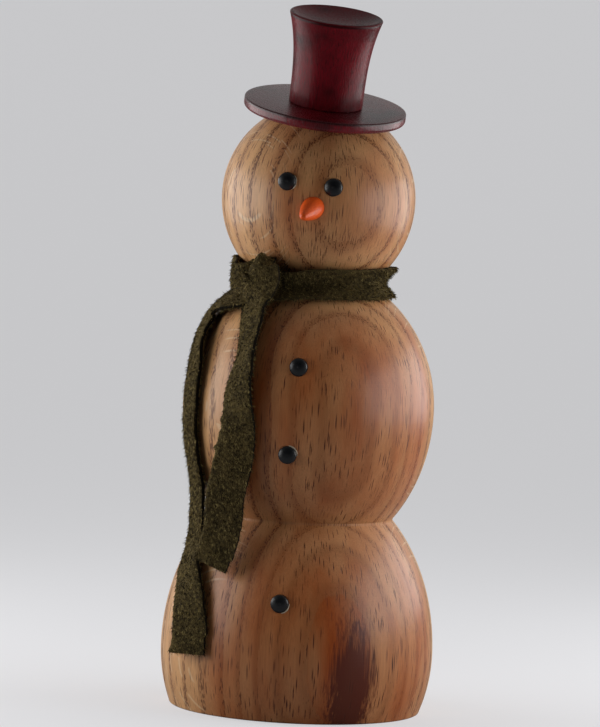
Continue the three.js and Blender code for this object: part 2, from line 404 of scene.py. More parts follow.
def nose_mouth():
    out = level_direction(math.radians(NOSE_AZIMUTH))
    return (out * ball_radius(HEAD, NOSE_HEIGHT) + Vector((0, 0, NOSE_HEIGHT))) * MM


def nose_axis():
    level, down = math.radians(NOSE_AIM), math.radians(NOSE_DROOP)
    return level_direction(level) * math.cos(down) - Vector((0, 0, math.sin(down)))


def counted_from(tree, start, axis):
    """Places in metres counted from a point, their Z along an axis."""
    place = {
        "Vector": add(tree, "ShaderNodeTexCoord").outputs["Object"],
        "Location": start,
        "Rotation": turn_to(axis).to_euler(),
    }
    return add(tree, "ShaderNodeMapping", place, vector_type="TEXTURE")


def drill(radius, depth, mouth, outward):
    """A drill bit as a closed mesh, its flat end at the given depth below the mouth."""
    bit = bmesh.new()
    length = depth + 12
    bmesh.ops.create_cone(
        bit,
        cap_ends=True,
        segments=64,
        radius1=radius * MM,
        radius2=radius * MM,
        depth=length * MM,
        matrix=Matrix.Translation((0, 0, (length / 2 - depth) * MM)),
    )
    bit.transform(Matrix.Translation(mouth) @ turn_to(outward))
    return bit


def year_rings(tree, log, height, from_pith, fibres):
    """The year a point grew in, and how far through that year, from 0 to 1."""
    math_node = "ShaderNodeMath"
    # A swelling of the log at the middle ball closes the rings into ovals there.
    up = add(tree, math_node, {0: height, 1: SWELLING["z"]}, operation="SUBTRACT")
    up = add(tree, math_node, {0: up, 1: SWELLING["length"]}, operation="DIVIDE")
    up = add(tree, math_node, {0: up, 1: up}, operation="MULTIPLY")
    up = add(tree, math_node, {0: up, 1: -1}, operation="MULTIPLY")
    swelling = add(tree, math_node, {0: up}, operation="EXPONENT")
    slow = add(tree, "ShaderNodeVectorMath", {0: log, 1: (0.07, 0.07, 0.022)}, operation="MULTIPLY")
    waver = add(tree, "ShaderNodeTexNoise", {"Vector": slow, "Scale": 1.0, "Detail": 2.0})
    depth = add(tree, math_node, {0: PITH_DISTANCE, 1: from_pith}, operation="SUBTRACT")
    depth = add(
        tree, math_node, {0: swelling, 1: -SWELLING["depth"], 2: depth}, operation="MULTIPLY_ADD"
    )
    depth = add(tree, math_node, {0: waver, 1: 2.2, 2: depth}, operation="MULTIPLY_ADD")
    depth = add(tree, math_node, {0: fibres, 1: 0.9, 2: depth}, operation="MULTIPLY_ADD")
    depth = add(tree, math_node, {0: depth, 1: FIRST_RING}, operation="SUBTRACT")
    near = add(tree, math_node, {0: depth, 1: 0}, operation="MAXIMUM")
    far = add(tree, math_node, {0: depth, 1: 0}, operation="MINIMUM")
    near = add(tree, math_node, {0: near, 1: FRONT_YEAR}, operation="DIVIDE")
    years = add(tree, math_node, {0: far, 1: 1 / DEEP_YEAR, 2: near}, operation="MULTIPLY_ADD")
    growth = add(tree, math_node, {0: 0.14, 1: years}, operation="SUBTRACT")
    year = add(tree, math_node, {0: growth}, operation="FLOOR")
    return year, add(tree, math_node, {0: growth}, operation="FRACT")


def fine_pores(tree, height, around, from_axis, bend):
    """Open dashes along the grain. Counted round the body's axis, they lie along its surface."""
    across = FINE_PORE["at"] / FINE_PORE["width"]
    cells_per_mm = (across, 1 / FINE_PORE["depth"], 1 / FINE_PORE["length"])
    place = add(tree, "ShaderNodeCombineXYZ", {0: around, 1: from_axis, 2: height})
    place = add(
        tree, "ShaderNodeVectorMath", {0: place, 1: cells_per_mm, 2: bend}, operation="MULTIPLY_ADD"
    )
    cells = add(tree, "ShaderNodeTexVoronoi", {"Vector": place, "Scale": 1.0})
    return add(
        tree, "ShaderNodeMapRange", {0: cells.outputs["Distance"], 1: 0.16, 2: 0.34, 3: 1, 4: 0}
    )


def pore_rows(tree, log, outward, row_share, bend):
    """The early wood's large pores, crowded into ragged dark rows, widest at the log's sides."""
    math_node = "ShaderNodeMath"
    cells_per_mm = (1 / ROW_PORE["width"], 1 / ROW_PORE["width"], 1 / ROW_PORE["length"])
    place = add(
        tree, "ShaderNodeVectorMath", {0: log, 1: cells_per_mm, 2: bend}, operation="MULTIPLY_ADD"
    )
    cells = add(tree, "ShaderNodeTexVoronoi", {"Vector": place, "Scale": 1.0})
    to_side = add(tree, "ShaderNodeMapRange", {0: outward, 1: 30, 2: 42, 3: 0, 4: 1})
    widest = add(tree, math_node, {0: to_side, 1: 0.34, 2: 0.16}, operation="MULTIPLY_ADD")
    width = add(tree, math_node, {0: row_share, 1: widest}, operation="MULTIPLY")
    edge = add(tree, math_node, {0: width, 1: cells.outputs["Distance"]}, operation="SUBTRACT")
    return add(tree, "ShaderNodeMapRange", {0: edge, 1: -0.06, 2: 0.08, 3: 0, 4: 1})


def ray_flecks(tree, along, from_pith):
    """Thin sheets that run out from the pith, pale where the surface runs along them."""
    math_node = "ShaderNodeMath"
    outward = along.outputs["Y"]
    turn = add(tree, math_node, {0: along.outputs["X"], 1: outward}, operation="ARCTAN2")
    turn = add(tree, math_node, {0: turn, 1: PITH_DISTANCE / RAY["apart"]}, operation="MULTIPLY")
    out = add(tree, math_node, {0: from_pith, 1: 1 / RAY["depth"]}, operation="MULTIPLY")
    rise = add(tree, math_node, {0: along.outputs["Z"], 1: 1 / RAY["height"]}, operation="MULTIPLY")
    place = add(tree, "ShaderNodeCombineXYZ", {0: turn, 1: out, 2: rise})
    cells = add(tree, "ShaderNodeTexVoronoi", {"Vector": place, "Scale": 1.0})
    sheet = add(tree, "ShaderNodeSeparateXYZ", {0: cells.outputs["Position"]})
    aside = add(tree, math_node, {0: turn, 1: sheet.outputs["X"]}, operation="SUBTRACT")
    aside = add(tree, math_node, {0: aside}, operation="ABSOLUTE")
    rays = add(tree, "ShaderNodeMapRange", {0: aside, 1: 0.03, 2: 0.08, 3: 1, 4: 0})
    reach = add(
        tree, "ShaderNodeMapRange", {0: cells.outputs["Distance"], 1: 0.4, 2: 0.5, 3: 1, 4: 0}
    )
    rays = add(tree, math_node, {0: rays, 1: reach}, operation="MULTIPLY")
    grazed = add(tree, "ShaderNodeMapRange", {0: outward, 1: 40, 2: 46, 3: 0, 4: 1})
    return add(tree, math_node, {0: rays, 1: grazed}, operation="MULTIPLY")


def mineral_stain(tree, log, height, around):
    """A dark stain that runs up from the foot in ragged streaks, a little right of the front."""
    math_node = "ShaderNodeMath"
    across = add(tree, math_node, {0: around, 1: STAIN_AZIMUTH}, operation="SUBTRACT")
    across = add(tree, math_node, {0: across}, operation="ABSOLUTE")
    band = add(tree, "ShaderNodeMapRange", {0: across, 1: 0.02, 2: 0.29, 3: 1, 4: 0})
    low = add(tree, "ShaderNodeMapRange", {0: height, 1: 14, 2: 40, 3: 1, 4: 0})
    place = add(tree, "ShaderNodeVectorMath", {0: log, 1: (1.3, 1.3, 0.03)}, operation="MULTIPLY")
    streaks = add(
        tree,
        "ShaderNodeTexNoise",
        {"Vector": place, "Scale": 1.0, "Detail": 3.0, "Roughness": 0.7},
    )
    stain = add(tree, math_node, {0: band, 1: low}, operation="MULTIPLY")
    stain = add(tree, math_node, {0: stain, 1: 0.7, 2: streaks}, operation="MULTIPLY_ADD")
    return add(tree, "ShaderNodeMapRange", {0: stain, 1: 0.7, 2: 0.94, 3: 0, 4: 0.95})


def oak():
    # Oiled oak, flat-sawn and sanded fine: nested ovals where the balls cut the year rings,
    # open dark pores along the grain, pale ray flecks where a ball runs along the rays.
    material, tree, shader = new_material("oiled_oak")
    math_node, vector_node = "ShaderNodeMath", "ShaderNodeVectorMath"
    # Log coordinates in millimetres: X across the log, Y from the pith, Z along the grain.
    log = add(
        tree,
        "ShaderNodeMapping",
        {
            "Vector": add(tree, "ShaderNodeTexCoord").outputs["Object"],
            "Location": (0, PITH_DISTANCE, 0),
            "Rotation": (0, 0, PITH_TURN),
            "Scale": (1000, 1000, 1000),
        },
    )
    along = add(tree, "ShaderNodeSeparateXYZ", {0: log})
    sideways, outward, height = (along.outputs[axis] for axis in "XYZ")
    level = add(tree, vector_node, {0: log, 1: (1, 1, 0)}, operation="MULTIPLY")
    from_pith = add(tree, vector_node, {0: level}, operation="LENGTH").outputs["Value"]
    inward = add(tree, math_node, {0: PITH_DISTANCE, 1: outward}, operation="SUBTRACT")
    around = add(tree, math_node, {0: sideways, 1: inward}, operation="ARCTAN2")
    from_axis = add(tree, "ShaderNodeCombineXYZ", {0: sideways, 1: inward})
    from_axis = add(tree, vector_node, {0: from_axis}, operation="LENGTH").outputs["Value"]

    # Fibres: streaks about a quarter of a millimetre wide and 10 mm long.
    fibre_place = add(tree, vector_node, {0: log, 1: (3.6, 3.6, 0.1)}, operation="MULTIPLY")
    fibres = add(
        tree,
        "ShaderNodeTexNoise",
        {"Vector": fibre_place, "Scale": 1.0, "Detail": 3.0, "Roughness": 0.6},
    )
    cloud_place = add(tree, vector_node, {0: log, 1: (0.12, 0.12, 0.03)}, operation="MULTIPLY")
    clouds = add(tree, "ShaderNodeTexNoise", {"Vector": cloud_place, "Scale": 1.0, "Detail": 3.0})

    year, season = year_rings(tree, log, height, from_pith, fibres)
    early = add(
        tree,
        "ShaderNodeMapRange",
        {0: season, 1: 0.12, 2: 0.42, 3: 1, 4: 0},
        interpolation_type="SMOOTHSTEP",
    )
    late = add(tree, "ShaderNodeMapRange", {0: season, 1: 0.55, 2: 1.0, 3: 0, 4: 1})
    row_share = add(
        tree,
        "ShaderNodeMapRange",
        {0: season, 1: 0.1, 2: 0.4, 3: 1, 4: 0},
        interpolation_type="SMOOTHSTEP",
    )
    # Good and lean years come in turn, so every few years the wood is paler.
    lean = add(tree, math_node, {0: year, 1: 0.52}, operation="MULTIPLY")
    lean = add(tree, math_node, {0: lean}, operation="SINE")
    lean = add(tree, math_node, {0: lean}, operation="ABSOLUTE")

    # Colour: warm brown at the front, paler tan towards the sides of the flat-sawn face, and each year
    # a little different from the next. The paler tan at the figure's left and right edges is partly the
    # face's own tone, partly a painted pale sheen.
    side = add(
        tree,
        "ShaderNodeMapRange",
        {0: outward, 1: 28, 2: 51, 3: 0, 4: 0.9},
        interpolation_type="SMOOTHSTEP",
    )
    tone = add(tree, math_node, {0: clouds, 1: 1.1, 2: -0.62}, operation="MULTIPLY_ADD")
    tone = add(tree, math_node, {0: tone, 1: side}, operation="ADD")
    tone = add(tree, math_node, {0: lean, 1: 0.45, 2: tone}, operation="MULTIPLY_ADD")
    tone = add(tree, math_node, {0: tone, 1: 0}, operation="ADD", use_clamp=True)
    brown, tan = linear("#A44C16"), linear("#D09E6C")
    wood = add(tree, "ShaderNodeMix", {0: tone, 6: brown, 7: tan}, data_type="RGBA")
    darker = add(tree, math_node, {0: early, 1: 0.22}, operation="MULTIPLY")
    darker = add(tree, math_node, {0: late, 1: 0.2, 2: darker}, operation="MULTIPLY_ADD")
    darker = add(tree, math_node, {0: row_share, 1: 0.12, 2: darker}, operation="MULTIPLY_ADD")
    ring = linear("#7C4019")
    wood = add(
        tree, "ShaderNodeMix", {0: darker, 6: wood.outputs[2], 7: ring}, data_type="RGBA"
    )
    streak = add(tree, math_node, {0: fibres, 1: 0.6, 2: 0.7}, operation="MULTIPLY_ADD")
    wood = add(tree, vector_node, {0: wood.outputs[2], "Scale": streak}, operation="SCALE")
    rays = ray_flecks(tree, along, from_pith)
    rays = add(tree, math_node, {0: rays, 1: 0.8}, operation="MULTIPLY")
    wood = add(tree, "ShaderNodeMix", {0: rays, 6: wood, 7: linear("#D9B68E")}, data_type="RGBA")
    stain = mineral_stain(tree, log, height, around)
    umber = linear("#571C08")
    wood = add(
        tree, "ShaderNodeMix", {0: stain, 6: wood.outputs[2], 7: umber}, data_type="RGBA"
    )

    # Pores: the fibres bend them a little, and the fine ones crowd where the wood is cloudy.
    fibre_colour = fibres.outputs["Color"]
    bend = add(tree, vector_node, {0: fibre_colour, 1: (0.6, 0.6, 0)}, operation="MULTIPLY")
    crowd = add(tree, "ShaderNodeMapRange", {0: clouds, 1: 0.42, 2: 0.58, 3: 0.4, 4: 1.0})
    fine = fine_pores(tree, height, around, from_axis, bend)
    fine = add(tree, math_node, {0: fine, 1: crowd}, operation="MULTIPLY")
    rows = pore_rows(tree, log, outward, row_share, bend)
    rows = add(tree, math_node, {0: rows, 1: 0.75}, operation="MULTIPLY")
    pores = add(tree, math_node, {0: fine, 1: rows}, operation="MAXIMUM")
    pore = linear("#4C200C")
    wood = add(tree, "ShaderNodeMix", {0: pores, 6: wood.outputs[2], 7: pore}, data_type="RGBA")

    # Sanding marks run round the body, 0.3 mm apart.
    line_place = add(tree, vector_node, {0: log, 1: (0.02, 0.02, 3.2)}, operation="MULTIPLY")
    lines = add(tree, "ShaderNodeTexNoise", {"Vector": line_place, "Scale": 1.0, "Detail": 1.0})
    relief = add(tree, math_node, {0: pores, 1: -1.0, 2: fibres}, operation="MULTIPLY_ADD")
    relief = add(tree, math_node, {0: lines, 1: 0.7, 2: relief}, operation="MULTIPLY_ADD")
    bump = add(tree, "ShaderNodeBump", {"Strength": 0.35, "Distance": 0.00006, "Height": relief})
    rough = add(tree, math_node, {0: fibres, 1: 0.16, 2: 0.3}, operation="MULTIPLY_ADD")
    rough = add(tree, math_node, {0: pores, 1: 0.2, 2: rough}, operation="MULTIPLY_ADD")
    plug(tree, shader, {"Base Color": wood.outputs[2], "Roughness": rough, "Normal": bump})
    plug(tree, shader, {"IOR": 1.5, "Specular IOR Level": 0.32})
    plug(tree, shader, {"Coat Weight": 0.12, "Coat Roughness": 0.22})
    return material


def make_body():
    outline = [
        [0, 0],
        *arc(ball_radius(BASE, FOOT_EDGE) - FOOT_EDGE, FOOT_EDGE, FOOT_EDGE, -90, -10, 4),
        *ball_outline(BASE, FOOT_EDGE + 0.2, ball_height(BASE, WAIST_RADIUS, 1), 56),
        *ball_outline(
            MIDDLE, ball_height(MIDDLE, WAIST_RADIUS, -1), ball_height(MIDDLE, NECK_RADIUS, 1), 72
        ),
        *ball_outline(HEAD, ball_height(HEAD, NECK_RADIUS, -1), HEAD["z"] + HEAD["above"], 72),
    ]
    outline[-1][0] = 0
    finish = oak()
    mesh = turned("turned_body_oak", outline, BODY_SIDES, finish)

    # The seat is cut square to the hat's tilted axis.
    work = bmesh.new()
    work.from_mesh(mesh)
    cut = bmesh.ops.bisect_plane(
        work,
        geom=work.verts[:] + work.edges[:] + work.faces[:],
        plane_co=seat_centre,
        plane_no=hat_axis,
        clear_outer=True,
    )
    bmesh.ops.contextual_create(
        work, geom=[e for e in cut["geom_cut"] if isinstance(e, bmesh.types.BMEdge)]
    )
    work.to_mesh(mesh)
    work.free()

    front = Vector((0, -1, 0))
    bits = [
        drill(DOWEL_HOLE_RADIUS, DOWEL_HOLE_DEPTH, seat_centre, hat_axis),
        drill(NOSE_HOLE_RADIUS, NOSE_HOLE_DEPTH, nose_mouth(), nose_axis()),
        *(drill(PEG_HOLE_RADIUS, PEG_HOLE_DEPTH, peg_mouth(name), front) for name in PEGS),
    ]
    all_bits = bpy.data.meshes.new("bits")
    joined = bmesh.new()
    for bit in bits:
        bit.to_mesh(all_bits)
        joined.from_mesh(all_bits)
        bit.free()
    joined.to_mesh(all_bits)
    joined.free()
    cutter = new_piece("bits", all_bits, finish)
    body = new_piece("turned_body_oak", mesh, finish)
    cut = body.modifiers.new("drilled", "BOOLEAN")
    cut.operation, cut.solver, cut.object = "DIFFERENCE", "EXACT", cutter
    drilled = evaluated_mesh(body, "turned_body_oak")
    bpy.data.objects.remove(cutter)
    body = new_piece("turned_body_oak", tidy_mesh(drilled, smallest=1e-7), finish)
    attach(body, "figure")
    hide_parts("turned_body")


make_body()

# ---------------------------------------------------------------------------------------------
# Pegs: two eyes and three buttons, 5 mm birch pegs with a low dome, dipped in satin black and
# glued into drilled holes. A little glue has squeezed out beside some of them.
# ---------------------------------------------------------------------------------------------
PEG_RADIUS = 2.4
PEG_SHANK = 5
PEG_PROUD = 0.7
PEG_DOME = 0.8
PEG_EDGE = 0.25
END_BEVEL = 0.3
# Where glue shows: from and to, in degrees anticlockwise from the figure's left, and its width.
GLUE_BEADS = {
    "left_eye_peg": (-60, 45, 0.22),
    "middle_button_peg": (-5, 85, 0.3),
    "lower_button_peg": (-75, 5, 0.26),
}


def black_satin():
    # Satin black lacquer on turned birch: soft wide highlights, faint brush drag across the dome.
    material, tree, shader = new_material("satin_black_lacquer")
    place = add(
        tree,
        "ShaderNodeMapping",
        {"Vector": add(tree, "ShaderNodeTexCoord").outputs["Object"], "Scale": (900, 900, 2600)},
    )
    drag = add(tree, "ShaderNodeTexNoise", {"Vector": place, "Scale": 1.0, "Detail": 3.0})
    colour = add(
        tree, "ShaderNodeMix", {0: drag, 6: linear("#07080A"), 7: linear("#15171B")}, data_type="RGBA"
    )
    rough = add(tree, "ShaderNodeMath", {0: drag, 1: 0.2, 2: 0.22}, operation="MULTIPLY_ADD")
    bump = add(tree, "ShaderNodeBump", {"Strength": 0.25, "Distance": 0.00004, "Height": drag})
    plug(tree, shader, {"Base Color": colour.outputs[2], "Roughness": rough, "Normal": bump})
    plug(tree, shader, {"IOR": 1.5})
    return material


def dried_glue():
    # Dried white wood glue: cloudy, slightly glossy, lets some light through.
    material, tree, shader = new_material("dried_wood_glue")
    place = add(
        tree,
        "ShaderNodeMapping",
        {"Vector": add(tree, "ShaderNodeTexCoord").outputs["Object"], "Scale": (2500, 2500, 2500)},
    )
    cloud = add(tree, "ShaderNodeTexNoise", {"Vector": place, "Scale": 1.0, "Detail": 2.0})
    colour = add(
        tree, "ShaderNodeMix", {0: cloud, 6: linear("#A8987F"), 7: linear("#D8CDB8")}, data_type="RGBA"
    )
    bump = add(tree, "ShaderNodeBump", {"Strength": 0.3, "Distance": 0.00005, "Height": cloud})
    plug(tree, shader, {"Base Color": colour.outputs[2], "Roughness": 0.35, "Normal": bump})
    return material


def bead_mesh(name, centre, ring_radius, start, stop, width, on_surface):
    """A tapering bead of glue along part of a ring round a peg."""
    steps, sides = 26, 8
    work = bmesh.new()
    rings = []
    for i in range(steps + 1):
        share = i / steps
        angle = math.radians(start + (stop - start) * share)
        thick = width * math.sqrt(math.sin(math.pi * share) + 0.02)
        thick *= 0.8 + 0.5 * noise.noise(Vector((share * 5, start, 0)))
        out = Vector((math.cos(angle), 0, math.sin(angle)))
        middle = on_surface(centre + out * ring_radius * MM)
        ring = []
        for j in range(sides):
            turn = math.tau * j / sides
            offset = out * math.cos(turn) - Vector((0, 1, 0)) * math.sin(turn) * 0.7
            ring.append(work.verts.new(middle + offset * thick * MM))
        rings.append(ring)
    for a, b in zip(rings, rings[1:]):
        for j in range(sides):
            work.faces.new((a[j], a[(j + 1) % sides], b[(j + 1) % sides], b[j]))
    work.faces.new(rings[0])
    work.faces.new(rings[-1])
    mesh = bpy.data.meshes.new(name)
    work.to_mesh(mesh)
    work.free()
    return tidy_mesh(mesh, 80)


def on_body(point):
    """The point straight in from the front on the body's surface."""
    radius = body_radius(point.z / MM) * MM
    return Vector((point.x, -math.sqrt(max(0, radius**2 - point.x**2)), point.z))


def peg_outline():
    dome_radius = (PEG_RADIUS**2 + PEG_DOME**2) / (2 * PEG_DOME)
    centre = PEG_PROUD + PEG_DOME - dome_radius
    edge = math.degrees(math.acos((PEG_RADIUS - PEG_EDGE * 0.5) / dome_radius))
    dome = arc(0, centre, dome_radius, edge, 89, 12)
    shoulder = arc(PEG_RADIUS - PEG_EDGE, dome[0][1] - PEG_EDGE, PEG_EDGE, 0, 50, 4)
    # The lathe leaves a small nib, and a shallow ring round it, at the middle of the dome.
    top = dome[-1][1]
    nib = [[0.34, top - 0.02], [0.25, top - 0.06], [0.12, top], [0, top + 0.02]]
    kept = [p for p in dome if p[0] > 0.4]
    return [
        [0, -PEG_SHANK],
        [PEG_RADIUS - END_BEVEL, -PEG_SHANK],
        [PEG_RADIUS, END_BEVEL - PEG_SHANK],
        *shoulder,
        *kept,
        *nib,
    ]


def make_pegs():
    lacquer, glue = black_satin(), dried_glue()
    outline = peg_outline()
    for name in PEGS:
        mouth = peg_mouth(name)
        place = Matrix.Translation(mouth) @ turn_to(Vector((0, -1, 0)))
        piece = new_piece(name + "_black", turned(name, outline, 64, lacquer, place), lacquer)
        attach(piece, "figure")
        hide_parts(name)
        if name in GLUE_BEADS:
            start, stop, width = GLUE_BEADS[name]
            mesh = bead_mesh(name, mouth, PEG_RADIUS + 0.15, start, stop, width, on_body)
            bead = new_piece(name + "_glue", mesh, glue)
            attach(bead, "figure")


make_pegs()

# ---------------------------------------------------------------------------------------------
# Nose: a birch cone whittled and sanded to a blunt carrot, painted orange and glued into its
# own hole so that it points down and a little to the figure's right.
# ---------------------------------------------------------------------------------------------
NOSE_RADIUS = 3.0
NOSE_LENGTH = 8.0
NOSE_SHANK = 4.0
NOSE_TIP = 1.1


def orange_paint():
    # Brushed orange acrylic over wood: the grain shows as fine grooves along the carrot.
    material, tree, shader = new_material("orange_acrylic_paint")
    place = counted_from(tree, nose_mouth(), nose_axis())
    along = add(tree, "ShaderNodeVectorMath", {0: place, 1: (2600, 2600, 260)}, operation="MULTIPLY")
    grain = add(
        tree, "ShaderNodeTexNoise", {"Vector": along, "Scale": 1.0, "Detail": 3.0, "Roughness": 0.6}
    )
    colour = add(
        tree, "ShaderNodeMix", {0: grain, 6: linear("#D2420A"), 7: linear("#FF6C20")}, data_type="RGBA"
    )
    rough = add(tree, "ShaderNodeMath", {0: grain, 1: 0.25, 2: 0.25}, operation="MULTIPLY_ADD")
    bump = add(tree, "ShaderNodeBump", {"Strength": 0.5, "Distance": 0.0001, "Height": grain})
    plug(tree, shader, {"Base Color": colour.outputs[2], "Roughness": rough, "Normal": bump})
    plug(tree, shader, {"Specular IOR Level": 0.35})
    return material


def make_nose():
    tip_centre = NOSE_LENGTH - NOSE_TIP
    outline = [
        [0, -NOSE_SHANK],
        [NOSE_RADIUS - END_BEVEL, -NOSE_SHANK],
        [NOSE_RADIUS, END_BEVEL - NOSE_SHANK],
        [NOSE_RADIUS, 0],
        [NOSE_RADIUS * 0.985, NOSE_LENGTH * 0.08],
        [NOSE_RADIUS * 0.93, NOSE_LENGTH * 0.2],
        [NOSE_RADIUS * 0.84, NOSE_LENGTH * 0.34],
        [NOSE_RADIUS * 0.73, NOSE_LENGTH * 0.5],
        [NOSE_RADIUS * 0.6, NOSE_LENGTH * 0.66],
        [NOSE_RADIUS * 0.46, NOSE_LENGTH * 0.82],
        *arc(0, tip_centre, NOSE_TIP, 20, 90, 8),
    ]
    outline[-1][0] = 0
    paint = orange_paint()
    place = Matrix.Translation(nose_mouth()) @ turn_to(nose_axis())
    mesh = turned("carrot_nose", outline, 72, paint, place)
    nose = new_piece("carrot_nose_orange", mesh, paint)
    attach(nose, "figure")
    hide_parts("carrot_nose")


make_nose()

# ---------------------------------------------------------------------------------------------
# Hat: a brim and a flared crown turned from pale hardwood, stained wine red and lacquered.
# They are glued together and slip over a plain dowel that stands in the top of the head.
# ---------------------------------------------------------------------------------------------
GAP = 0.3
DOWEL_RADIUS = 3.0
DOWEL_IN_HEAD = 11
DOWEL_IN_HAT = 9
DOWEL_CHAMFER = 0.5
BRIM_RADIUS = 22
BRIM_THICKNESS = 2.9
BRIM_TOP_EDGE = 0.4
BRIM_BOTTOM_EDGE = 1.1
SPIGOT_RADIUS = 6
CROWN_HEIGHT = 24.3
CROWN_FOOT_RADIUS = 10
CROWN_RIM_RADIUS = 12.65
CROWN_RIM_EDGE = 0.35
CROWN_DISH = 2.2
CROWN_FLARE = 3
CROWN_FOOT_EDGE = 0.15
CROWN_OFF_BRIM = 0.08
HAT_SIDES = 160

on_seat = Matrix.Translation(seat_centre) @ turn_to(hat_axis)
on_dowel = on_seat @ Matrix.Translation((0, 0, GAP * MM))


def plain_dowel():
    # Ramin dowel rod as bought: pale, straight fine grain along it, dry and unfinished.
    material, tree, shader = new_material("plain_ramin_dowel")
    place = counted_from(tree, seat_centre, hat_axis)
    along = add(tree, "ShaderNodeVectorMath", {0: place, 1: (3000, 3000, 120)}, operation="MULTIPLY")
    grain = add(tree, "ShaderNodeTexNoise", {"Vector": along, "Scale": 1.0, "Detail": 4.0})
    colour = add(
        tree, "ShaderNodeMix", {0: grain, 6: linear("#B08A58"), 7: linear("#E2C697")}, data_type="RGBA"
    )
    bump = add(tree, "ShaderNodeBump", {"Strength": 0.4, "Distance": 0.00006, "Height": grain})
    plug(tree, shader, {"Base Color": colour.outputs[2], "Roughness": 0.7, "Normal": bump})
    return material


def wine_stain(name, lacquer):
    # Wine-red spirit stain under gloss lacquer: blotchy, near black where the wood drank most,
    # with fine slanting figure lines. The lacquer lies thicker on the brim than on the crown.
    material, tree, shader = new_material(name)
    math_node, vector_node = "ShaderNodeMath", "ShaderNodeVectorMath"
    place = counted_from(tree, seat_centre, hat_axis)
    local = add(tree, vector_node, {0: place, "Scale": 1 / MM}, operation="SCALE")
    blotches = add(
        tree, "ShaderNodeTexNoise", {"Vector": local, "Scale": 0.09, "Detail": 3.0, "Roughness": 0.6}
    )
    slanted = add(
        tree,
        "ShaderNodeMapping",
        {"Vector": local, "Rotation": (0, math.radians(-24), 0), "Scale": (3.0, 3.0, 0.4)},
    )
    figure = add(
        tree, "ShaderNodeTexNoise", {"Vector": slanted, "Scale": 1.0, "Detail": 3.0, "Roughness": 0.6}
    )
    dark = add(tree, "ShaderNodeMapRange", {0: blotches, 1: 0.4, 2: 0.7, 3: 0, 4: 0.9})
    lines = add(tree, "ShaderNodeMapRange", {0: figure, 1: 0.42, 2: 0.66, 3: 0, 4: 0.7})
    dark = add(tree, math_node, {0: dark, 1: lines}, operation="MAXIMUM")
    # The colour is darkest along the brim's upper corner and the crown's rim.
    spot = add(tree, "ShaderNodeSeparateXYZ", {0: local})
    flat_spot = add(tree, "ShaderNodeCombineXYZ", {0: spot.outputs["X"], 1: spot.outputs["Y"]})
    out = add(tree, vector_node, {0: flat_spot}, operation="LENGTH").outputs["Value"]
    profile = add(tree, "ShaderNodeCombineXYZ", {0: out, 2: spot.outputs["Z"]})
    brim_corner = (BRIM_RADIUS, 0, BRIM_THICKNESS)
    crown_corner = (CROWN_RIM_RADIUS, 0, BRIM_THICKNESS + CROWN_HEIGHT)
    to_brim = add(tree, vector_node, {0: profile, 1: brim_corner}, operation="DISTANCE")
    to_crown = add(tree, vector_node, {0: profile, 1: crown_corner}, operation="DISTANCE")
    nearest = add(
        tree,
        math_node,
        {0: to_brim.outputs["Value"], 1: to_crown.outputs["Value"]},
        operation="MINIMUM",
    )
    rim = add(tree, "ShaderNodeMapRange", {0: nearest, 1: 0.2, 2: 0.75, 3: 0.9, 4: 0})
    dark = add(tree, math_node, {0: dark, 1: rim}, operation="MAXIMUM")
    stain = add(
        tree, "ShaderNodeMix", {0: dark, 6: linear("#78141F"), 7: linear("#240609")}, data_type="RGBA"
    )
    relief = add(tree, math_node, {0: figure, 1: 0.8, 2: blotches}, operation="MULTIPLY_ADD")
    bump = add(tree, "ShaderNodeBump", {"Strength": 0.7, "Distance": 0.00014, "Height": relief})
    rough = add(tree, math_node, {0: figure, 1: 0.15, 2: 0.2}, operation="MULTIPLY_ADD")
    plug(tree, shader, {"Base Color": stain.outputs[2], "Roughness": rough, "Normal": bump})
    plug(tree, shader, {"IOR": 1.5, "Specular IOR Level": 0.08 + 0.22 * lacquer})
    plug(tree, shader, {"Coat Weight": 0.03 + 0.09 * lacquer, "Coat Roughness": 0.1})
    return material


def make_dowel():
    outline = [
        [0, -DOWEL_IN_HEAD],
        [DOWEL_RADIUS - DOWEL_CHAMFER, -DOWEL_IN_HEAD],
        [DOWEL_RADIUS, DOWEL_CHAMFER - DOWEL_IN_HEAD],
        [DOWEL_RADIUS, DOWEL_IN_HAT - DOWEL_CHAMFER],
        [DOWEL_RADIUS - DOWEL_CHAMFER, DOWEL_IN_HAT],
        [0, DOWEL_IN_HAT],
    ]
    rod = plain_dowel()
    dowel = new_piece("hat_dowel_rod", turned("hat_dowel", outline, 64, rod, on_seat), rod)
    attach(dowel, "hat_peg")
    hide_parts("hat_dowel")


